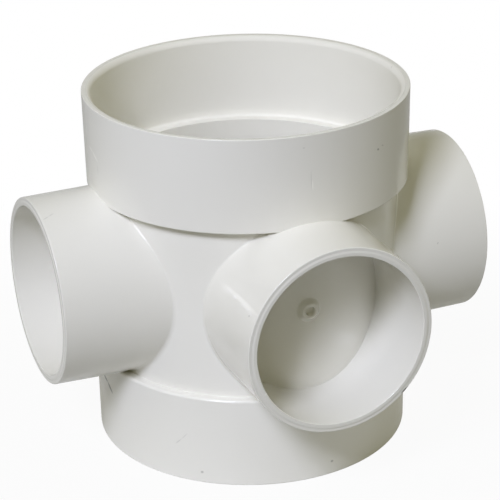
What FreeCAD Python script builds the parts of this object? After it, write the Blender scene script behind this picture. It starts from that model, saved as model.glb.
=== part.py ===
"""A short boss pipe in rigid white PVC: one moulded piece.

Two coaxial pipe sockets are joined by a plain barrel. Three blind boss sockets stand
out of the barrel at one level, a quarter turn apart, and the barrel's own wall closes
their inner ends until a hole is drilled there on site.

Millimetres. Z runs up the pipe's axis, Z = 0 is the lower mouth's face, the front boss
points along -Y and the two side bosses along -X and +X.
"""

import FreeCAD, Part
import math
import os
import Sketcher

NODE = "boss_pipe"
SHEET = "Sizes"
FULL_TURN = 360.0

SIZES = {
    # The pipe that the fitting takes, and its two sockets
    "pipe_diameter": 110.0,
    "socket_clearance": 0.4,
    "seat_width": 4.0,
    "seat_chamfer": 3.0,
    "rim_chamfer": 0.5,
    # Barrel between the collars
    "barrel_wall": 3.3,
    "barrel_length": 63.7,
    # Upper socket; a wall is measured at the rim and at the foot of the collar
    "upper_collar_height": 34.0,
    "upper_seat_floor": 1.8,
    "upper_rim_wall": 3.5,
    "upper_root_wall": 3.1,
    "upper_lead_in": 1.7,
    "upper_edge_chamfer": 1.2,
    # Lower socket
    "lower_collar_height": 34.0,
    "lower_seat_floor": 2.0,
    "lower_rim_wall": 2.5,
    "lower_root_wall": 2.7,
    "lower_lead_in": 1.2,
    "lower_shoulder_round": 1.8,
    # Bosses; a taper is millimetres of radius for each millimetre of length
    "boss_rise": 31.6,
    "boss_projection": 27.4,
    "boss_bore": 61.4,
    "boss_bore_taper": 0.026,
    "boss_wall": 3.15,
    "boss_outer_taper": 0.016,
    "boss_socket_depth": 25.0,
    "boss_root_chamfer": 1.0,
    # Boss mouths: a low lip stands round the bore, inside a lower outer land
    "boss_rim_chamfer": 0.4,
    "boss_lip_height": 0.4,
    "boss_lip_slope": 0.6,
    "boss_lip_width": 0.9,
    "boss_mouth_chamfer": 0.4,
    # Moulding gate mark on the front boss's end wall
    "gate_dish_diameter": 7.6,
    "gate_dish_depth": 0.6,
    "gate_ring_diameter": 5.4,
    "gate_ring_bore": 3.0,
    "gate_ring_height": 1.3,
    "gate_ring_chamfer": 0.4,
}

# How much of a gap the slope at the foot of a boss may take: of the barrel between two
# bosses, where there are two slopes, and of the barrel between a boss and a collar
NEIGHBOUR_SHARE = 0.4
COLLAR_SHARE = 0.8

# A curve lies on two surfaces if this many points along it are this near to both
CURVE_SAMPLES = 9
CURVE_TOLERANCE = 0.05


class Size:
    """A length with its present value and the sheet expression that drives it."""

    OPERATIONS = {
        "+": lambda a, b: a + b,
        "-": lambda a, b: a - b,
        "*": lambda a, b: a * b,
        "/": lambda a, b: a / b,
    }

    def __init__(self, value, text):
        self.value = value
        self.text = text

    def combine(self, sign, other):
        if not isinstance(other, Size):
            other = Size(float(other), str(other))
        value = self.OPERATIONS[sign](self.value, other.value)
        return Size(value, f"({self.text} {sign} {other.text})")

    def __add__(self, other):
        return self.combine("+", other)

    def __sub__(self, other):
        return self.combine("-", other)

    def __mul__(self, other):
        return self.combine("*", other)

    def __truediv__(self, other):
        return self.combine("/", other)

    def root(self):
        return Size(math.sqrt(self.value), f"sqrt({self.text})")

    def magnitude(self):
        return Size(abs(self.value), f"abs({self.text})")

    def smaller(self, other):
        return Size(min(self.value, other.value), f"min({self.text}; {other.text})")


ZERO = Size(0.0, "0")


def make_sheet(doc):
    """Write every driving size to the sheet and return them by name."""
    sheet = doc.addObject("Spreadsheet::Sheet", SHEET)
    for row, (name, value) in enumerate(SIZES.items(), start=1):
        sheet.set(f"A{row}", name)
        sheet.set(f"B{row}", str(value))
        sheet.setAlias(f"B{row}", name)
    doc.recompute()
    return {name: Size(float(value), f"{SHEET}.{name}") for name, value in SIZES.items()}


def derive(s):
    """Add the radii and levels that follow from the driving sizes."""
    s["socket"] = (s["pipe_diameter"] + s["socket_clearance"]) / 2
    s["bore"] = s["socket"] - s["seat_width"]
    s["barrel"] = s["bore"] + s["barrel_wall"]
    s["shoulder"] = s["lower_collar_height"]
    s["step"] = s["shoulder"] + s["barrel_length"]
    s["height"] = s["step"] + s["upper_collar_height"]
    s["level"] = s["shoulder"] + s["boss_rise"]
    s["reach"] = s["barrel"] + s["boss_projection"]
    s["mouth"] = s["boss_bore"] / 2 + s["boss_wall"]


def origin_feature(body, role):
    return next(item for item in body.Origin.OriginFeatures if item.Role == role)


def pipe_axis(body):
    return (origin_feature(body, "Z_Axis"), [""])


def new_sketch(body, name, plane):
    sketch = body.newObject("Sketcher::SketchObject", name)
    sketch.AttachmentSupport = [(origin_feature(body, plane), "")]
    sketch.MapMode = "FlatFace"
    return sketch


def bind(sketch, size, kind, *where):
    """Add a dimension to a sketch and tie it to the sheet."""
    index = sketch.addConstraint(Sketcher.Constraint(kind, *where, size.value))
    sketch.setExpression(f"Constraints[{index}]", size.text)


def quarter_arc(start, end, turn):
    """A quarter circle between two points; turn is +1 anticlockwise or -1 clockwise."""
    chord = end - start
    to_centre = FreeCAD.Vector(-chord.y, chord.x, 0) * turn
    centre = start + (chord + to_centre) * 0.5
    circle = Part.Circle(centre, FreeCAD.Vector(0, 0, 1), (start - centre).Length)
    first, last = (start, end) if turn > 0 else (end, start)
    low = math.atan2(first.y - centre.y, first.x - centre.x)
    high = math.atan2(last.y - centre.y, last.x - centre.x)
    return Part.ArcOfCircle(circle, low, high if high > low else high + 2 * math.pi)


def draw_profile(sketch, corners):
    """Draw a closed outline and tie every corner to the sheet.

    A corner is (x, y) or (x, y, radius, turn): the edge that leaves it is then a
    quarter round of that radius instead of a straight line.
    """
    starts = []
    ends = []
    for corner, following in zip(corners, corners[1:] + corners[:1]):
        start = FreeCAD.Vector(corner[0].value, corner[1].value, 0)
        end = FreeCAD.Vector(following[0].value, following[1].value, 0)
        if len(corner) == 2:
            edge = sketch.addGeometry(Part.LineSegment(start, end), False)
            backwards = False
        else:
            edge = sketch.addGeometry(quarter_arc(start, end, corner[3]), False)
            backwards = corner[3] < 0
        starts.append((edge, 2 if backwards else 1))
        ends.append((edge, 1 if backwards else 2))
    for index, corner in enumerate(corners):
        sketch.addConstraint(Sketcher.Constraint("Coincident", *ends[index - 1], *starts[index]))
        bind(sketch, corner[0], "DistanceX", *starts[index])
        bind(sketch, corner[1], "DistanceY", *starts[index])
        if len(corner) > 2:
            bind(sketch, corner[2], "Radius", starts[index][0])


def draw_axis(sketch, level, end):
    """A construction line along the sketch's X direction, at a height."""
    start_point = FreeCAD.Vector(0, level.value, 0)
    end_point = FreeCAD.Vector(end.value, level.value, 0)
    edge = sketch.addGeometry(Part.LineSegment(start_point, end_point), True)
    for corner, x in ((1, ZERO), (2, end)):
        bind(sketch, x, "DistanceX", edge, corner)
        bind(sketch, level, "DistanceY", edge, corner)


def spin(doc, body, kind, name, sketch, axis, merge=True):
    """Revolve a sketch a full turn, adding (Revolution) or cutting (Groove).

    Faces that continue each other are made one, unless merge is off.
    """
    base = body.Tip
    feature = body.newObject(f"PartDesign::{kind}", name)
    feature.Profile = sketch
    feature.ReferenceAxis = axis
    feature.Angle = FULL_TURN
    feature.Refine = merge
    doc.recompute()
    if kind == "Groove" and feature.Shape.Volume >= base.Shape.Volume:
        raise RuntimeError(f"{name} cuts nothing")
    return feature


def add_barrel(doc, body, s):
    """The barrel, solid for now, so that it closes the inner ends of the bosses.

    It is made in two lengths that meet at the bosses' level, so that the foot of each
    boss is an upper and a lower arc instead of one closed curve.
    """
    for name, low, high in (("lower", ZERO, s["level"]), ("upper", s["level"], s["height"])):
        sketch = new_sketch(body, f"{name}_barrel_section", "XZ_Plane")
        draw_profile(sketch, [(ZERO, low), (s["barrel"], low), (s["barrel"], high), (ZERO, high)])
        spin(doc, body, "Revolution", f"{name}_barrel", sketch, pipe_axis(body), merge=False)


def add_boss(doc, body, s, name, plane):
    """One boss tube, drawn in a plane from the pipe's axis out to its mouth.

    The bore is straight over the depth of the socket and narrows a little beyond it.
    """
    level = s["level"]
    mouth = ZERO - s["reach"]
    land = mouth + s["boss_lip_height"]
    seat = mouth + s["boss_socket_depth"]
    chamfer = s["boss_mouth_chamfer"]
    rim_chamfer = s["boss_rim_chamfer"]
    bore = level + s["boss_bore"] / 2
    bore_at_axis = bore + seat * s["boss_bore_taper"]
    lip = bore + chamfer + s["boss_lip_width"]
    outside = level + s["mouth"]
    outside_at_axis = outside + s["reach"] * s["boss_outer_taper"]
    sketch = new_sketch(body, f"{name}_section", plane)
    draw_profile(
        sketch,
        [
            (ZERO, bore_at_axis),
            (seat, bore),
            (mouth + chamfer, bore),
            (mouth, bore + chamfer),
            (mouth, lip),
            (land, lip + s["boss_lip_slope"]),
            (land, outside - rim_chamfer),
            (land + rim_chamfer, outside),
            (ZERO, outside_at_axis),
        ],
    )
    draw_axis(sketch, level, mouth)
    return spin(doc, body, "Revolution", name, sketch, (sketch, ["Axis0"]), merge=False)


def add_bosses(doc, body, s):
    """The front boss and the left one, which is mirrored to the right."""
    add_boss(doc, body, s, "front_boss", "YZ_Plane")
    left = add_boss(doc, body, s, "left_boss", "XZ_Plane")
    right = body.newObject("PartDesign::Mirrored", "right_boss")
    right.Originals = [left]
    right.MirrorPlane = (origin_feature(body, "YZ_Plane"), [""])
    right.Refine = False
    body.Tip = right
    doc.recompute()


def boss_root_edges(shape, s):
    """Names of the edges where the outside of a boss meets the barrel."""
    level = s["level"].value
    reach = s["reach"].value
    mouth = s["mouth"].value
    taper = s["boss_outer_taper"].value
    barrel = s["barrel"].value

    def on_root(point):
        along = max(abs(point.x), -point.y)
        across = min(abs(point.x), abs(point.y))
        from_boss = math.hypot(across, point.z - level) - mouth - (reach - along) * taper
        from_barrel = math.hypot(point.x, point.y) - barrel
        return max(abs(from_boss), abs(from_barrel)) < CURVE_TOLERANCE

    return [
        f"Edge{number}"
        for number, edge in enumerate(shape.Edges, start=1)
        if all(on_root(point) for point in edge.discretize(CURVE_SAMPLES))
    ]


def cut_bore(doc, body, s):
    """The barrel's bore, which also trims the bosses' inner ends."""
    sketch = new_sketch(body, "bore_section", "XZ_Plane")
    corners = [(ZERO, ZERO), (s["bore"], ZERO), (s["bore"], s["height"]), (ZERO, s["height"])]
    draw_profile(sketch, corners)
    spin(doc, body, "Groove", "bore", sketch, pipe_axis(body), merge=False)


def add_upper_collar(doc, body, s):
    """The outside of the upper socket: it widens a little towards its rim."""
    height = s["height"]
    step = s["step"]
    rim = s["socket"] + s["upper_rim_wall"]
    root = s["socket"] + s["upper_root_wall"]
    inside = s["bore"] + s["barrel_wall"] / 2
    rim_chamfer = s["rim_chamfer"]
    edge_chamfer = s["upper_edge_chamfer"]
    sketch = new_sketch(body, "upper_collar_section", "XZ_Plane")
    draw_profile(
        sketch,
        [
            (inside, step),
            (root - edge_chamfer, step),
            (root, step + edge_chamfer),
            (rim, height - rim_chamfer),
            (rim - rim_chamfer, height),
            (inside, height),
        ],
    )
    spin(doc, body, "Revolution", "upper_collar", sketch, pipe_axis(body))


def add_lower_collar(doc, body, s):
    """The outside of the lower socket, with its soft upper shoulder."""
    shoulder = s["shoulder"]
    rim = s["socket"] + s["lower_rim_wall"]
    root = s["socket"] + s["lower_root_wall"]
    inside = s["bore"] + s["barrel_wall"] / 2
    rim_chamfer = s["rim_chamfer"]
    rounding = s["lower_shoulder_round"]
    sketch = new_sketch(body, "lower_collar_section", "XZ_Plane")
    draw_profile(
        sketch,
        [
            (inside, ZERO),
            (rim - rim_chamfer, ZERO),
            (rim, rim_chamfer),
            (root, shoulder - rounding, rounding, 1),
            (root - rounding, shoulder),
            (inside, shoulder),
        ],
    )
    spin(doc, body, "Revolution", "lower_collar", sketch, pipe_axis(body))


def fill_boss_roots(doc, body, s):
    """The narrow slope that fills the corner between each boss and the barrel.

    It is held back where little barrel is left between two bosses, or between a boss
    and a collar.
    """
    taper = s["boss_outer_taper"]
    beside = (s["mouth"] + s["reach"] * taper) / (taper + 1)
    at_crest = s["mouth"] + s["boss_projection"] * taper
    to_neighbour = (s["barrel"] * s["barrel"] - beside * beside).root() - beside
    to_step = (s["step"] - s["level"] - at_crest).magnitude()
    to_shoulder = (s["level"] - s["shoulder"] - at_crest).magnitude()
    width = s["boss_root_chamfer"].smaller(to_neighbour * NEIGHBOUR_SHARE)
    width = width.smaller(to_step.smaller(to_shoulder) * COLLAR_SHARE)
    base = body.Tip
    slope = body.newObject("PartDesign::Chamfer", "boss_roots")
    slope.Base = (base, boss_root_edges(base.Shape, s))
    slope.setExpression("Size", width.text)
    doc.recompute()


def cut_socket(doc, body, s, name, seat, rim, lead_in, way):
    """One pipe socket from its seat out to its rim: way is 1 for up and -1 for down."""
    socket = s["socket"]
    slope = s["seat_chamfer"]
    sketch = new_sketch(body, f"{name}_section", "XZ_Plane")
    draw_profile(
        sketch,
        [
            (ZERO, seat),
            (socket - slope, seat),
            (socket, seat + slope * way),
            (socket, rim - lead_in * way),
            (socket + lead_in, rim),
            (ZERO, rim),
        ],
    )
    spin(doc, body, "Groove", name, sketch, pipe_axis(body))


def cut_sockets(doc, body, s):
    """The two pipe sockets, each with a lead-in at its rim and a sloped seat at its foot."""
    upper_seat = s["step"] + s["upper_seat_floor"]
    lower_seat = s["shoulder"] - s["lower_seat_floor"]
    cut_socket(doc, body, s, "upper_socket", upper_seat, s["height"], s["upper_lead_in"], 1)
    cut_socket(doc, body, s, "lower_socket", lower_seat, ZERO, s["lower_lead_in"], -1)


def add_gate_mark(doc, body, s):
    """Where the plastic came in: a shallow dish with a small raised ring in it."""
    level = s["level"]
    wall = ZERO - s["barrel"]
    floor = wall + s["gate_dish_depth"]
    top = wall - s["gate_ring_height"]
    ring_bore = level + s["gate_ring_bore"] / 2
    ring = level + s["gate_ring_diameter"] / 2
    dish = level + s["gate_dish_diameter"] / 2
    chamfer = s["gate_ring_chamfer"]

    dish_sketch = new_sketch(body, "gate_dish_section", "YZ_Plane")
    draw_profile(dish_sketch, [(floor, level), (floor, dish), (top, dish), (top, level)])
    draw_axis(dish_sketch, level, wall)
    spin(doc, body, "Groove", "gate_dish", dish_sketch, (dish_sketch, ["Axis0"]))

    ring_sketch = new_sketch(body, "gate_ring_section", "YZ_Plane")
    draw_profile(
        ring_sketch,
        [
            (floor, ring_bore),
            (floor, ring),
            (top + chamfer, ring),
            (top, ring - chamfer),
            (top, ring_bore + chamfer),
            (top + chamfer, ring_bore),
        ],
    )
    draw_axis(ring_sketch, level, wall)
    spin(doc, body, "Revolution", "gate_ring", ring_sketch, (ring_sketch, ["Axis0"]))


def check(doc, body):
    """Stop before anything is written if a feature or the solid is faulty."""
    for item in doc.Objects:
        faults = {"Invalid", "Error"} & set(item.State)
        if faults:
            raise RuntimeError(f"{item.Name} is {', '.join(sorted(faults))}")
    shape = body.Shape
    if shape.isNull() or not shape.isValid() or len(shape.Solids) != 1:
        raise RuntimeError(f"{body.Label} is not one valid solid")


def main():
    doc = FreeCAD.newDocument("short_boss_pipe")
    s = make_sheet(doc)
    derive(s)
    body = doc.addObject("PartDesign::Body", NODE)
    body.Label = NODE
    body.Placement = FreeCAD.Placement()
    add_barrel(doc, body, s)
    add_bosses(doc, body, s)
    cut_bore(doc, body, s)
    add_lower_collar(doc, body, s)
    add_upper_collar(doc, body, s)
    fill_boss_roots(doc, body, s)
    cut_sockets(doc, body, s)
    add_gate_mark(doc, body, s)
    doc.recompute()
    check(doc, body)
    os.makedirs("parts", exist_ok=True)
    body.Shape.exportStep(f"parts/{body.Label}.step")
    print(f"{body.Label}: volume {body.Shape.Volume:.1f} mm3")


main()
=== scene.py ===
"""Looks of a short boss pipe in white PVC: one smooth moulded skin, its finish and a studio.

Sizes are in millimetres, in the frame's own axes: Z up the pipe's axis from the lower
mouth's face, -Y out of the front boss, -X and +X out of the side bosses.
"""

import math

import bpy
import numpy as np
from mathutils import Matrix, Vector


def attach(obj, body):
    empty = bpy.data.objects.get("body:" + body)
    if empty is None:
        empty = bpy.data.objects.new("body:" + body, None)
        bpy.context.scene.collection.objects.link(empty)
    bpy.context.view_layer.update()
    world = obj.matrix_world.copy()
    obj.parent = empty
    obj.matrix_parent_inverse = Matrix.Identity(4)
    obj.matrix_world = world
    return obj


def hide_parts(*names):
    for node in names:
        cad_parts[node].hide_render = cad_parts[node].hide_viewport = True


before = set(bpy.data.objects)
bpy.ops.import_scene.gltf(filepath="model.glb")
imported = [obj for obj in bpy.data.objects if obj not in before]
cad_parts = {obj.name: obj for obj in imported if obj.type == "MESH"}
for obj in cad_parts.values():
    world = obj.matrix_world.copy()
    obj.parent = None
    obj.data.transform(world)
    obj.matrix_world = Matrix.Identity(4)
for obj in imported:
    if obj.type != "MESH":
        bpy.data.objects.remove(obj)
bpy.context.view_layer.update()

MM = 0.001

# Pipe body: its radii and heights
BARREL = 54.5
SHOULDER = 34.0
STEP = 97.7
RIM = 131.7
LOWER_RIM = 57.7
LOWER_ROOT = 57.9
UPPER_ROOT = 58.3
UPPER_RIM = 58.7
SOCKET = 55.2
BORE = 51.2
UPPER_SEAT = 99.5
LOWER_SEAT = 32.0

# Rounds of the edges next to the barrel, and the body's section: each corner's radius,
# height and round, up the outside and down the inside
SHOULDER_ROUND = 0.9
SHOULDER_FILLET = 0.1
STEP_FILLET = 0.15
EDGE_ROUND = 0.45
SECTION = [
    (LOWER_RIM, 0.0, 0.5),
    (LOWER_ROOT, SHOULDER, SHOULDER_ROUND),
    (BARREL, SHOULDER, SHOULDER_FILLET),
    (BARREL, STEP, STEP_FILLET),
    (UPPER_ROOT, STEP, EDGE_ROUND),
    (UPPER_RIM, RIM, 0.3),
    (SOCKET, RIM, 2.3),
    (SOCKET, UPPER_SEAT, 1.1),
    (BORE, UPPER_SEAT, 0.25),
    (BORE, LOWER_SEAT, 0.25),
    (SOCKET, LOWER_SEAT, 3.0),
    (SOCKET, 0.0, 1.2),
]
OUTSIDE_CORNERS = 6

# Corners of the section at which the outside faces of the two collars start
LOWER_FACE = 0
UPPER_FACE = 4

# Bosses: the height of their axes, radii about them, and distances along them from the
# pipe's axis. A taper is a change of radius for each millimetre of length
LEVEL = 65.6
REACH = 81.9
MOUTH = 33.85
MOUTH_TAPER = 0.016
BOSS_BORE = 30.7
BOSS_SEAT = 56.9
BOSS_BORE_TAPER = 0.026
RIM_START = 78.0
FOOT_ROUND = 0.2

# A boss's mouth: a low lip round the bore, inside a lower land. Each corner has a radius,
# a distance and a round
LAND = 81.68
LIP_FOOT = 32.7
LIP_EDGE = 31.95
MOUTH_SECTION = [
    (MOUTH, LAND, 0.4),
    (LIP_FOOT, LAND, 0.1),
    (LIP_EDGE, REACH, 0.1),
    (BOSS_BORE, REACH, 0.3),
]

# Fillet between a boss and the barrel: wide below one height and narrow above another,
# and fading out near the collars
ROOT_LOW = 2.2
ROOT_HIGH = 0.8
ROOT_LOW_END = 60.0
ROOT_HIGH_START = 85.0
ROOT_FADE = 3.0

# Moulding gate mark on the front boss's end wall: a low cone with a hole in it
GATE_SECTION = [
    (4.3, BARREL, 0.8),
    (2.85, 56.1, 0.6),
    (1.75, 56.1, 0.35),
    (1.5, 54.6, 0.3),
]
GATE_EDGE = 5.4

# Finish: the plastic's two tones and the noises that vary tone, gloss and surface, each
# with a scale, a detail and a stretch along the three axes
PVC = (0.885, 0.875, 0.812, 1.0)
PVC_WARM = (0.875, 0.863, 0.796, 1.0)
CLOUD = (14.0, 3.0, (1.0, 1.0, 1.0))
POLISH = (45.0, 4.0, (1.0, 1.0, 0.35))
RIPPLE = (55.0, 2.0, (1.0, 1.0, 0.5))
NOISE_LOW = 0.3
NOISE_HIGH = 0.7
ROUGH_LOW = 0.12
ROUGH_HIGH = 0.17
RIPPLE_STRENGTH = 0.25
RIPPLE_DEPTH = 0.02

# The inside of the pipe is rougher by this much. It lies within one radius between the
# sockets and within another in them, by the height above or below the bosses' axes
ROUGH_INSIDE = 0.75
INSIDE_BORE = 53.0
INSIDE_SOCKET = 57.0
INSIDE_BLEND = 0.9
SOCKETS_FROM = 32.3
SOCKETS_TO = 33.3

# Marks on the plastic, and two painted reflections among the light ones: start, end,
# width and strength of each. The core is the share of the width at full strength
MARK_LIGHT_AND_REFLECTION = (0.99, 0.979, 0.91, 1.0)
MARK_DARK = (0.05, 0.045, 0.035, 1.0)
MARK_CORE = 0.45
LIGHT_MARKS_AND_REFLECTIONS = [
    ((-58.4, 3.2, 115.9), (-58.45, -0.8, 115.2), 1.2, 0.9),
    ((-58.45, -0.6, 115.3), (-58.24, -5.2, 112.9), 1.4, 1.0),
    ((-0.1, -58.5, 115.6), (0.1, -58.5, 111.5), 0.5, 0.9),
    ((-28.2, -81.9, 51.6), (-27.4, -81.9, 52.3), 0.8, 0.9),
    # The last two light streaks are painted reflections on the front boss's outside: one of the left
    # boss's root highlight, and one of the lower shoulder's highlight
    ((-30.7, -54.5, 80.8), (-30.1, -82.5, 81.05), 2.2, 1.0),
    ((-31.7, -78.2, 53.7), (-29.8, -75.6, 49.3), 1.6, 1.0),
]
DARK_MARKS = [
    ((-58.2, -5.0, 111.6), (-58.2, -4.8, 107.5), 0.5, 0.14),
    ((-0.6, -58.5, 119.5), (-0.5, -58.5, 111.6), 0.5, 0.10),
    ((27.3, -51.7, 119.7), (27.8, -51.4, 119.5), 1.0, 0.42),
    ((29.4, -50.6, 120.5), (30.2, -50.1, 120.1), 0.7, 0.2),
    ((55.3, -4.8, 131.1), (55.6, -4.6, 131.2), 0.8, 0.5),
    ((-21.9, 51.3, 131.3), (-21.2, 51.7, 131.3), 0.6, 0.2),
    ((-57.9, 2.6, 26.4), (-57.8, -2.2, 25.0), 1.5, 0.75),
    ((-57.8, -2.0, 25.1), (-57.5, -6.2, 22.3), 1.5, 0.75),
    ((-37.5, -43.9, 4.2), (-37.3, -44.1, 4.3), 1.2, 0.35),
    ((7.4, -57.2, 5.1), (7.7, -57.2, 5.1), 1.2, 0.35),
    ((-44.5, -36.8, 13.9), (-42.9, -38.7, 16.3), 0.6, 0.16),
    ((-42.9, -38.7, 16.3), (-41.2, -40.5, 19.1), 0.5, 0.12),
    ((22.5, -81.5, 41.0), (25.2, -81.4, 43.4), 1.0, 0.95),
    ((-80.8, -11.6, 97.4), (-78.6, -10.55, 97.8), 0.6, 0.15),
    ((-78.6, -10.55, 97.8), (-76.4, -9.4, 98.2), 0.6, 0.12),
    ((-31.2, -76.5, 78.9), (-31.2, -76.3, 79.1), 0.6, 0.5),
    ((-3.4, -58.5, 127.4), (-2.9, -58.5, 127.4), 0.6, 0.15),
    ((60.8, -33.7, 71.3), (61.1, -33.7, 71.7), 0.7, 0.22),
]

# Floor, in metres: its half width, and the distances from the pipe's axis between which
# it changes. Its whiteness to the camera and in reflections is a pair, near and far
FLOOR = 3.0
FLOOR_NEAR = 0.10
FLOOR_FAR = 0.24
FLOOR_ROUGH = 0.9
NEAR_COLOUR = (0.58, 0.58, 0.57, 1.0)
FAR_COLOUR = (0.10, 0.10, 0.10, 1.0)
FLOOR_WHITE = (0.945, 1.0)
MIRRORED_WHITE = (0.25, 0.38)

# Room: the light from all round, and what reflections and the camera see of it
ROOM_COLOUR = (1.0, 0.92, 0.30, 1.0)
ROOM_LIGHT = 0.165
ROOM_MIRRORED = (0.28, 0.28, 0.28, 1.0)
WHITE = (1.0, 1.0, 1.0, 1.0)

# Lamps: name, turn from the front and rise in degrees, width in metres, watts, colour,
# and whether reflections show it
LAMP_AIM = Vector((0.0, 0.0, 0.07))
LAMP_DISTANCE = 1.6
LAMPS = [
    ("key", -45.0, 42.0, 0.40, 20.0, (0.80, 0.826, 1.0), True),
    ("right_fill", 76.0, 30.0, 0.9, 4.0, (1.0, 1.0, 1.0), True),
    ("left_fill", -88.0, 32.0, 0.8, 2.5, (0.98, 0.99, 1.0), True),
    ("back_fill", 155.0, 28.0, 1.7, 0.8, (0.97, 0.99, 1.0), True),
    ("back_key", 148.0, 1.0, 0.2, 15.0, (0.84, 0.865, 1.0), False),
]

# Camera: where it stands and aims, its lens and how far it sees. Its roll is in degrees
CAMERA_PLACE = Vector((-246.5, -611.9, 355.9))
CAMERA_AIM = Vector((0.40, -0.16, 66.5))
CAMERA_ROLL = -1.118
CAMERA_LENS = 140.03
CAMERA_SENSOR = 36.0
CAMERA_FAR = 20000.0

# Fineness of the mesh: columns in an eighth of a turn, spacing and numbers of rows, steps
# of a round, and places across a boss's crest that get a row of their own
HALF_COLUMNS = 16
ROW_SPACING = 2.4
MOUTH_SPACING = 3.0
GATE_SPACING = 0.6
BOSS_ROWS = 9
BORE_ROWS = 5
WALL_ROWS = 13
ROUND_STEPS = 5
CREST_ACROSS = (0.0, 2.2, 3.6, 4.9, 6.2)

# Rows nearer than the gap are one row, and points that round to one step of the weld are
# one point
ROW_GAP = 0.04
WELD = 0.001

# Rounds of each repeated solution, and a length that counts as nothing
SOLVE_ROUNDS = 40
TINY = 1e-6

UP = np.array((0.0, 0.0, 1.0))
SIDES = {
    "front": np.array((0.0, -1.0, 0.0)),
    "left": np.array((-1.0, 0.0, 0.0)),
    "right": np.array((1.0, 0.0, 0.0)),
    "back": np.array((0.0, 1.0, 0.0)),
}


class Skin:
    """Grids of points with their true normals, joined into one closed mesh."""

    def __init__(self):
        self.points = []
        self.normals = []
        self.quads = []
        self.count = 0

    def grid(self, points, normals):
        """Adds rows of points, with a face between each four neighbours."""
        rows, columns = points.shape[:2]
        index = self.count + np.arange(rows * columns).reshape(rows, columns)
        ring = (index[:-1, :-1], index[:-1, 1:], index[1:, 1:], index[1:, :-1])
        self.quads.append(np.stack(ring, axis=-1).reshape(-1, 4))
        self.points.append(points.reshape(-1, 3))
        self.normals.append(normals.reshape(-1, 3))
        self.count += rows * columns

    def mesh(self, name):
        """The mesh, with faces turned outward and points in one place joined."""
        points = np.concatenate(self.points)
        normals = np.concatenate(self.normals)
        normals /= np.linalg.norm(normals, axis=1, keepdims=True)
        quads = np.concatenate(self.quads)
        corners = points[quads]
        facing = np.cross(corners[:, 2] - corners[:, 0], corners[:, 3] - corners[:, 1])
        inward = (facing * normals[quads].sum(axis=1)).sum(axis=1) < 0
        quads[inward] = quads[inward][:, ::-1]

        key = np.round(points / WELD).astype(np.int64)
        _, first, joined = np.unique(key, axis=0, return_index=True, return_inverse=True)
        joined = joined.reshape(-1)
        faces = []
        corner_normals = []
        for quad in quads.tolist():
            pairs = zip(quad, quad[-1:] + quad[:-1])
            kept = [v for v, before in pairs if joined[v] != joined[before]]
            if len({joined[v] for v in kept}) < 3:
                continue
            faces.append([int(joined[v]) for v in kept])
            corner_normals.extend(normals[v] for v in kept)

        mesh = bpy.data.meshes.new(name)
        mesh.from_pydata((points[first] * MM).tolist(), [], faces)
        mesh.shade_smooth()
        mesh.normals_split_custom_set([tuple(n) for n in corner_normals])
        return mesh


def unit(vector):
    return vector / np.linalg.norm(vector, axis=-1, keepdims=True)


def smooth(x):
    """Eases from 0 to 1 as x does."""
    x = np.clip(x, 0.0, 1.0)
    return x * x * (3 - 2 * x)


def rounded_path(corners, closed, spacing=ROW_SPACING):
    """Points, normals and corner numbers along an outline with rounded corners.

    The normal is on the right of the way along. An open outline's ends are not rounded.
    A point between two corners has the number of the one before it.
    """
    xy = np.array([corner[:2] for corner in corners])
    count = len(corners)
    points = []
    normals = []
    numbers = []

    def add(point, normal, number):
        points.append(point)
        normals.append(normal)
        numbers.append(number)

    for i, here in enumerate(xy):
        radius = corners[i][2]
        if not closed and i in (0, count - 1):
            way = unit(xy[1] - xy[0]) if i == 0 else unit(xy[-1] - xy[-2])
            add(here, np.array((way[1], -way[0])), i)
        else:
            before = unit(here - xy[i - 1])
            after = unit(xy[(i + 1) % count] - here)
            turn = math.atan2(before[0] * after[1] - before[1] * after[0], before @ after)
            start = here - before * radius * math.tan(abs(turn) / 2)
            side = math.copysign(1.0, turn)
            centre = start + np.array((-before[1], before[0])) * radius * side
            for k in range(ROUND_STEPS + 1):
                cos = math.cos(turn * k / ROUND_STEPS)
                sin = math.sin(turn * k / ROUND_STEPS)
                normal = np.array((cos * before[1] + sin * before[0], sin * before[1] - cos * before[0]))
                add(centre + normal * radius * side, normal, i)
    rows = []
    total = len(points)
    for i in range(total if closed else total - 1):
        j = (i + 1) % total
        rows.append((points[i], normals[i], numbers[i]))
        length = np.linalg.norm(points[j] - points[i])
        pieces = max(1, math.ceil(length / spacing)) if numbers[j] != numbers[i] else 1
        for k in range(1, pieces):
            part = k / pieces
            rows.append((points[i] + (points[j] - points[i]) * part, normals[i], numbers[i]))
    if not closed:
        rows.append((points[-1], normals[-1], numbers[-1]))
    return rows


def boss_radius(along):
    """Outside radius of a boss at a distance from the pipe's axis."""
    return MOUTH + (REACH - along) * MOUTH_TAPER


def collar_radius(height):
    """Outside radius of the collar that a boss runs into, at a height."""
    if height > LEVEL:
        return UPPER_ROOT + (UPPER_RIM - UPPER_ROOT) * (height - STEP) / (RIM - STEP)
    return LOWER_RIM + (LOWER_ROOT - LOWER_RIM) * height / SHOULDER


def boss_height(across, side):
    """Height at which a boss crosses a collar's face; side is 1 at its crest, -1 below."""
    height = LEVEL + side * MOUTH
    for _ in range(SOLVE_ROUNDS):
        along = math.sqrt(collar_radius(height) ** 2 - across * across)
        height = LEVEL + side * math.sqrt(boss_radius(along) ** 2 - across * across)
    return height


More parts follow.
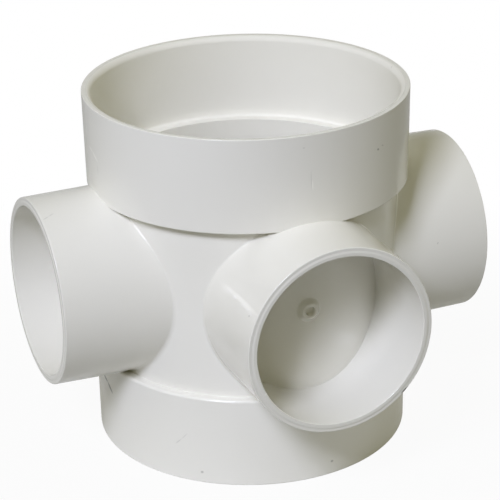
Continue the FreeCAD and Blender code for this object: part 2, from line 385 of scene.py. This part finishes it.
def body_rows():
    """Rows of the body's section, with extra ones where a boss's curve turns over."""
    rows = rounded_path(SECTION, closed=True)
    below = (-1, LOWER_FACE, SHOULDER - SHOULDER_ROUND)
    above = (1, UPPER_FACE, STEP + EDGE_ROUND)
    for side, face, limit in (below, above):
        for across in CREST_ACROSS:
            height = boss_height(across, side)
            if (height - limit) * side < ROW_GAP:
                continue
            place = next(
                i
                for i, row in enumerate(rows)
                if row[2] == face and row[0][1] < height <= rows[i + 1][0][1]
            )
            point = np.array((collar_radius(height), height))
            normal = rows[place][1]
            if abs(rows[place + 1][0][1] - height) < ROW_GAP:
                rows[place + 1] = (point, normal, rows[place + 1][2])
            elif abs(rows[place][0][1] - height) < ROW_GAP:
                rows[place] = (point, normal, face)
            else:
                rows.insert(place + 1, (point, normal, face))
    return rows


def root_round(height):
    """Radius of the fillet between a boss and the barrel at a height."""
    low = SHOULDER + SHOULDER_FILLET
    high = STEP - STEP_FILLET
    share = smooth((height - ROOT_LOW_END) / (ROOT_HIGH_START - ROOT_LOW_END))
    fade = smooth((height - low) / ROOT_FADE) * smooth((high - height) / ROOT_FADE)
    return float((ROOT_LOW + (ROOT_HIGH - ROOT_LOW) * share) * fade)


def boss_crossing(radius, height, on_barrel):
    """Where a boss crosses one row of the body, or None where it doesn't.

    The fillet is that of a ball rolled along the corner. It touches the body at an
    angle from the boss's axis, and the boss at a place along it and a turn about it.
    """
    ball = root_round(height) if on_barrel else 0.0
    along = radius
    for _ in range(SOLVE_ROUNDS):
        reach = boss_radius(along) + ball
        rest = reach * reach - (height - LEVEL) ** 2
        if rest < -TINY:
            return None
        across = math.sqrt(max(rest, 0.0))
        along = math.sqrt((radius + ball) ** 2 - across * across)
    return {
        "ball": ball,
        "along": along,
        "across": across,
        "angle": math.atan2(across, along),
        "turn": math.atan2(across, height - LEVEL),
    }


def local(along, across, height, way):
    """A point or direction from a boss's own directions to the frame's."""
    side = np.cross(UP, way)
    along, across, height = (
        part[..., None] for part in np.broadcast_arrays(along, across, height)
    )
    return along * way + across * side + height * UP


def add_body(skin, rows, crossings):
    """The revolved body: columns spread away from a boss's foot where there is one."""
    spread = np.linspace(0.0, 1.0, HALF_COLUMNS + 1)
    eighth = math.pi / 4
    radius = np.array([row[0][0] for row in rows + rows[:1]])
    height = np.array([row[0][1] for row in rows + rows[:1]])
    out = np.array([row[1][0] for row in rows + rows[:1]])
    up = np.array([row[1][1] for row in rows + rows[:1]])
    for name, way in SIDES.items():
        start = np.zeros(len(radius))
        if name != "back":
            start[:-1] = [c["angle"] if c else 0.0 for c in crossings]
        angle = start[:, None] + (eighth - start[:, None]) * spread
        for side in (-1, 1):
            cos = np.cos(angle)
            sin = np.sin(angle) * side
            level = np.broadcast_to(height[:, None], angle.shape)
            points = local(radius[:, None] * cos, radius[:, None] * sin, level, way)
            lift = np.broadcast_to(up[:, None], angle.shape)
            normals = local(out[:, None] * cos, out[:, None] * sin, lift, way)
            skin.grid(points, normals)


def boss_loop(rows, crossings):
    """The crossed rows of the body, from the foot of a boss up to its crest."""
    return [(row, crossing) for row, crossing in zip(rows, crossings) if crossing]


def add_root(skin, loop, way):
    """The fillet strips at the two sides of a boss's foot."""
    steps = np.linspace(0.0, 1.0, ROUND_STEPS + 1)
    for side in (-1, 1):
        points = []
        normals = []
        for (point, normal, _), c in loop:
            ball = c["ball"]
            centre = np.array((c["along"], c["across"] * side, point[1]))
            flat = np.array((math.cos(c["angle"]), math.sin(c["angle"]) * side, 0.0))
            body_normal = np.array((flat[0] * normal[0], flat[1] * normal[0], normal[1]))
            tube_normal = np.array((0.0, math.sin(c["turn"]) * side, math.cos(c["turn"])))
            between = math.acos(float(np.clip(body_normal @ tube_normal, -1, 1)))
            if between < TINY:
                turned = np.repeat(body_normal[None], len(steps), axis=0)
            else:
                first = np.sin((1 - steps) * between)[:, None] * body_normal
                last = np.sin(steps * between)[:, None] * tube_normal
                turned = (first + last) / math.sin(between)
            place = centre - ball * turned
            points.append(local(place[:, 0], place[:, 1], place[:, 2], way))
            normals.append(local(turned[:, 0], turned[:, 1], turned[:, 2], way))
        skin.grid(np.array(points), np.array(normals))


def on_boss(along, radius, turn, way):
    """A point at a distance along a boss's axis, and a radius and turn about it."""
    return local(along, radius * np.sin(turn), LEVEL + radius * np.cos(turn), way)


def boss_normal(outward, lift, turn, way):
    """A normal there, from its shares away from the boss's axis and along it."""
    return local(lift, outward * np.sin(turn), outward * np.cos(turn), way)


def turned_rows(corners, spacing):
    """Radii, places and the two shares of the normals of an open outline's rows."""
    rows = rounded_path(corners, closed=False, spacing=spacing)
    table = np.array([(*point, *normal) for point, normal, _ in rows])
    return table.T[..., None]


def add_boss(skin, loop, way, gate):
    """One boss: its outside, mouth, bore and end wall."""
    up_side = [(c["along"], c["turn"]) for _, c in loop]
    down_side = [(along, -turn) for along, turn in reversed(up_side[:-1])]
    along = np.array([pair[0] for pair in up_side + down_side])
    turn = np.array([pair[1] for pair in up_side + down_side])
    even = np.linspace(math.pi, -math.pi, len(turn))

    # Outside, from the foot to the rim
    part = np.linspace(0.0, 1.0, BOSS_ROWS)[:, None]
    place = along + (RIM_START - along) * part
    twist = turn + (even - turn) * part
    radius = boss_radius(place)
    taper = np.full(place.shape, MOUTH_TAPER)
    skin.grid(on_boss(place, radius, twist, way), boss_normal(1.0, taper, twist, way))

    # Mouth, and the bore down to the adaptor's seat
    start = (float(boss_radius(RIM_START)), RIM_START, 0.0)
    end = (BOSS_BORE, BOSS_SEAT, 0.0)
    radius, place, outward, lift = turned_rows([start] + MOUTH_SECTION + [end], MOUTH_SPACING)
    skin.grid(on_boss(place, radius, even, way), boss_normal(outward, lift, even, way))

    # Below the seat the bore narrows a little, down to the end wall's fillet
    centre = np.full(even.shape, BARREL)
    for _ in range(SOLVE_ROUNDS):
        narrow = BOSS_BORE - (BOSS_SEAT - centre) * BOSS_BORE_TAPER
        centre = np.sqrt((BARREL + FOOT_ROUND) ** 2 - ((narrow - FOOT_ROUND) * np.sin(even)) ** 2)
    part = np.linspace(0.0, 1.0, BORE_ROWS)[:, None]
    place = BOSS_SEAT + (centre - BOSS_SEAT) * part
    radius = BOSS_BORE - (BOSS_SEAT - place) * BOSS_BORE_TAPER
    lift = np.full(place.shape, BOSS_BORE_TAPER)
    skin.grid(on_boss(place, radius, even, way), boss_normal(-1.0, lift, even, way))

    # Fillet round the end wall
    inner = narrow - FOOT_ROUND
    across = inner * np.sin(even)
    rise = inner * np.cos(even)
    bore_normal = np.stack((np.zeros_like(even), -np.sin(even), -np.cos(even)), axis=-1)
    wall_normal = unit(np.stack((centre, across, np.zeros_like(even)), axis=-1))
    middle = np.stack((centre, across, LEVEL + rise), axis=-1)
    points = []
    normals = []
    for k in range(ROUND_STEPS + 1):
        mix = math.pi / 2 * k / ROUND_STEPS
        normal = unit(math.cos(mix) * bore_normal + math.sin(mix) * wall_normal)
        points.append(middle - normal * FOOT_ROUND)
        normals.append(normal)
    points = np.array(points)
    normals = np.array(normals)
    skin.grid(
        local(points[..., 0], points[..., 1], points[..., 2], way),
        local(normals[..., 0], normals[..., 1], normals[..., 2], way),
    )

    edge_across = points[-1, :, 1]
    edge_rise = points[-1, :, 2] - LEVEL
    add_end_wall(skin, edge_across, edge_rise, even, way, gate)


def add_end_wall(skin, edge_across, edge_rise, even, way, gate):
    """The barrel's own wall, which closes the boss; the front one has the gate mark."""
    inner = GATE_EDGE if gate else 0.0
    part = np.linspace(0.0, 1.0, WALL_ROWS)[:, None]
    across = edge_across + (inner * np.sin(even) - edge_across) * part
    rise = edge_rise + (inner * np.cos(even) - edge_rise) * part
    along = np.sqrt(BARREL**2 - across**2)
    skin.grid(local(along, across, LEVEL + rise, way), local(along, across, 0.0 * rise, way))
    if not gate:
        return
    start = (GATE_EDGE, BARREL, 0.0)
    end = (0.0, GATE_SECTION[-1][1], 0.0)
    radius, place, outward, lift = turned_rows([start] + GATE_SECTION + [end], GATE_SPACING)
    across = radius * np.sin(even)
    # The mark follows the wall's curve
    drop = BARREL - np.sqrt(BARREL**2 - across**2)
    tilt = lift * across / BARREL
    points = local(place - drop, across, LEVEL + radius * np.cos(even), way)
    normals = local(lift, outward * np.sin(even) + tilt, outward * np.cos(even), way)
    skin.grid(points, normals)


def build_skin():
    """The whole moulding as one mesh."""
    skin = Skin()
    rows = body_rows()
    crossings = []
    for point, _, corner in rows:
        outside = corner < OUTSIDE_CORNERS
        on_barrel = abs(point[0] - BARREL) < TINY
        crossings.append(boss_crossing(point[0], point[1], on_barrel) if outside else None)
    add_body(skin, rows, crossings)
    loop = boss_loop(rows, crossings)
    for name in ("front", "left", "right"):
        add_root(skin, loop, SIDES[name])
        add_boss(skin, loop, SIDES[name], gate=name == "front")
    return skin.mesh("boss_pipe_skin")


class Graph:
    """Adds shader nodes to a material and links them."""

    def __init__(self, material):
        material.use_nodes = True
        self.nodes = material.node_tree.nodes
        self.links = material.node_tree.links
        self.shader = self.nodes["Principled BSDF"]

    def add(self, kind, inputs, **settings):
        node = self.nodes.new(kind)
        for name, value in settings.items():
            setattr(node, name, value)
        for key, value in inputs.items():
            self.put(node.inputs[key], value)
        return node

    def put(self, socket, value):
        """Links an input to an output, or sets the input's own value."""
        if isinstance(value, bpy.types.NodeSocket):
            self.links.new(value, socket)
        else:
            socket.default_value = value

    def noise(self, place, scale, detail, stretch):
        mapping = self.add("ShaderNodeMapping", {"Vector": place, "Scale": stretch})
        inputs = {"Vector": mapping.outputs["Vector"], "Scale": scale, "Detail": detail}
        return self.add("ShaderNodeTexNoise", inputs).outputs["Fac"]

    def remap(self, value, low, high, to_low, to_high):
        inputs = {"Value": value, "From Min": low, "From Max": high}
        inputs |= {"To Min": to_low, "To Max": to_high}
        return self.add("ShaderNodeMapRange", inputs).outputs["Result"]

    def calculate(self, operation, *values):
        node = self.add("ShaderNodeMath", dict(enumerate(values)), operation=operation)
        return node.outputs[0]

    def length(self, vector):
        node = self.add("ShaderNodeVectorMath", {0: vector}, operation="LENGTH")
        return node.outputs["Value"]

    def streak(self, place, start, end, width, strength):
        """A soft-edged mark between two points, as a mask."""
        start = Vector(start) * MM
        end = Vector(end) * MM
        along = end - start
        half = width * MM / 2
        inputs = {
            "Vector": place,
            "Location": (start + end) / 2,
            "Rotation": along.to_track_quat("X", "Z").to_euler(),
            "Scale": (along.length / 2 + half, half, half),
        }
        mapped = self.add("ShaderNodeMapping", inputs, vector_type="TEXTURE").outputs["Vector"]
        return self.remap(self.length(mapped), MARK_CORE, 1.0, strength, 0.0)

    def larger(self, values):
        largest = values[0]
        for value in values[1:]:
            largest = self.calculate("MAXIMUM", largest, value)
        return largest

    def mix(self, factor, first, second):
        node = self.nodes.new("ShaderNodeMix")
        node.data_type = "RGBA"
        sockets = {socket.identifier: socket for socket in node.inputs}
        self.put(sockets["Factor_Float"], factor)
        self.put(sockets["A_Color"], first)
        self.put(sockets["B_Color"], second)
        return next(socket for socket in node.outputs if socket.identifier == "Result_Color")


def make_material():
    """Glossy white PVC, a little uneven in tone and gloss, with its handling marks and two painted
    reflections.
    """
    material = bpy.data.materials.new("white_pvc")
    graph = Graph(material)
    place = graph.add("ShaderNodeTexCoord", {}).outputs["Object"]

    cloud = graph.remap(graph.noise(place, *CLOUD), NOISE_LOW, NOISE_HIGH, 0.0, 1.0)
    colour = graph.mix(cloud, PVC_WARM, PVC)
    # Light streaks: nicks and lines on the plastic, and two painted reflections on the front boss
    light = graph.larger([graph.streak(place, *mark) for mark in LIGHT_MARKS_AND_REFLECTIONS])
    dark = graph.larger([graph.streak(place, *mark) for mark in DARK_MARKS])
    colour = graph.mix(light, colour, MARK_LIGHT_AND_REFLECTION)
    colour = graph.mix(dark, colour, MARK_DARK)
    graph.put(graph.shader.inputs["Base Color"], colour)

    # The inside of the pipe is duller than the outside
    rough = graph.remap(graph.noise(place, *POLISH), NOISE_LOW, NOISE_HIGH, ROUGH_LOW, ROUGH_HIGH)
    level = graph.add("ShaderNodeMapping", {"Vector": place, "Scale": (1.0, 1.0, 0.0)})
    radius = graph.length(level.outputs["Vector"])
    height = graph.add("ShaderNodeSeparateXYZ", {"Vector": place}).outputs["Z"]
    offset = graph.calculate("ABSOLUTE", graph.calculate("SUBTRACT", height, LEVEL * MM))
    ends = (SOCKETS_FROM * MM, SOCKETS_TO * MM)
    limit = graph.remap(offset, *ends, INSIDE_BORE * MM, INSIDE_SOCKET * MM)
    depth = graph.calculate("SUBTRACT", limit, radius)
    dull = graph.remap(depth, 0.0, INSIDE_BLEND * MM, 0.0, ROUGH_INSIDE)
    graph.put(graph.shader.inputs["Roughness"], graph.calculate("ADD", rough, dull))

    ripple = graph.noise(place, *RIPPLE)
    inputs = {"Height": ripple, "Strength": RIPPLE_STRENGTH, "Distance": RIPPLE_DEPTH * MM}
    bump = graph.add("ShaderNodeBump", inputs)
    graph.put(graph.shader.inputs["Normal"], bump.outputs["Normal"])
    return material


def make_floor():
    """A pale floor: white to the camera, but for a faint shadow near the object.

    Reflections show it as a pale grey. Away from the object it gives back less light, as
    in a large dim room.
    """
    mesh = bpy.data.meshes.new("floor")
    corners = [(-FLOOR, -FLOOR, 0), (FLOOR, -FLOOR, 0), (FLOOR, FLOOR, 0), (-FLOOR, FLOOR, 0)]
    mesh.from_pydata(corners, [], [(0, 1, 2, 3)])
    floor = bpy.data.objects.new("floor", mesh)
    bpy.context.collection.objects.link(floor)
    material = bpy.data.materials.new("pale_floor")
    graph = Graph(material)
    place = graph.add("ShaderNodeTexCoord", {}).outputs["Object"]
    distance = graph.length(place)

    def by_distance(near, far):
        return graph.remap(distance, FLOOR_NEAR, FLOOR_FAR, near, far)

    colour = graph.mix(by_distance(0.0, 1.0), NEAR_COLOUR, FAR_COLOUR)
    graph.put(graph.shader.inputs["Base Color"], colour)
    graph.put(graph.shader.inputs["Roughness"], FLOOR_ROUGH)
    rays = graph.add("ShaderNodeLightPath", {}).outputs
    seen = graph.calculate("MULTIPLY", rays["Is Camera Ray"], by_distance(*FLOOR_WHITE))
    mirrored = graph.larger([rays["Is Glossy Ray"], rays["Is Transmission Ray"]])
    mirrored = graph.calculate("MULTIPLY", mirrored, by_distance(*MIRRORED_WHITE))
    share = graph.larger([seen, mirrored])
    white = graph.add("ShaderNodeEmission", {"Color": WHITE, "Strength": 1.0}).outputs[0]
    blend = graph.add("ShaderNodeMixShader", {0: share, 1: graph.shader.outputs[0], 2: white})
    graph.put(graph.nodes["Material Output"].inputs["Surface"], blend.outputs[0])
    mesh.materials.append(material)


def make_camera():
    """A camera at the photograph's place, with its slight roll."""
    roll = math.radians(CAMERA_ROLL)
    forward = (CAMERA_AIM - CAMERA_PLACE).normalized()
    right = forward.cross(Vector(UP)).normalized()
    above = right.cross(forward)
    turned_right = right * math.cos(roll) + above * math.sin(roll)
    turned_above = above * math.cos(roll) - right * math.sin(roll)
    data = bpy.data.cameras.new("camera")
    data.lens = CAMERA_LENS
    data.sensor_width = CAMERA_SENSOR
    data.clip_end = CAMERA_FAR * MM
    camera = bpy.data.objects.new("camera", data)
    matrix = Matrix((turned_right, turned_above, -forward)).transposed().to_4x4()
    matrix.translation = CAMERA_PLACE * MM
    camera.matrix_world = matrix
    bpy.context.collection.objects.link(camera)
    bpy.context.scene.camera = camera


def make_lamp(name, turn, rise, size, power, colour, mirrored):
    """A square soft box aimed at the object, turned from the front and raised by degrees."""
    turn = math.radians(turn)
    rise = math.radians(rise)
    level = math.cos(rise)
    away = Vector((math.sin(turn) * level, -math.cos(turn) * level, math.sin(rise)))
    data = bpy.data.lights.new(name, "AREA")
    data.shape = "SQUARE"
    data.size = size
    data.energy = power
    data.color = colour
    lamp = bpy.data.objects.new(name, data)
    lamp.visible_glossy = mirrored
    lamp.location = LAMP_AIM + away * LAMP_DISTANCE
    lamp.rotation_euler = (-away).to_track_quat("-Z", "Y").to_euler()
    bpy.context.collection.objects.link(lamp)


def make_world():
    """Dim warm light from all round, grey in reflections and white to the camera."""
    world = bpy.data.worlds.new("studio")
    bpy.context.scene.world = world
    world.use_nodes = True
    nodes = world.node_tree.nodes
    links = world.node_tree.links
    rays = nodes.new("ShaderNodeLightPath").outputs
    seen = nodes["Background"]
    seen.inputs["Color"].default_value = ROOM_COLOUR
    seen.inputs["Strength"].default_value = ROOM_LIGHT
    for ray, colour in (("Is Glossy Ray", ROOM_MIRRORED), ("Is Camera Ray", WHITE)):
        background = nodes.new("ShaderNodeBackground")
        background.inputs["Color"].default_value = colour
        mix = nodes.new("ShaderNodeMixShader")
        links.new(rays[ray], mix.inputs[0])
        links.new(seen.outputs[0], mix.inputs[1])
        links.new(background.outputs[0], mix.inputs[2])
        seen = mix
    links.new(seen.outputs[0], nodes["World Output"].inputs["Surface"])


pipe = bpy.data.objects.new("boss_pipe_skin", build_skin())
bpy.context.collection.objects.link(pipe)
pipe.data.materials.append(make_material())
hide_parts("boss_pipe")
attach(pipe, "root")

make_floor()
make_camera()
make_world()
for lamp in LAMPS:
    make_lamp(*lamp)

bpy.context.scene.view_settings.view_transform = "Standard"
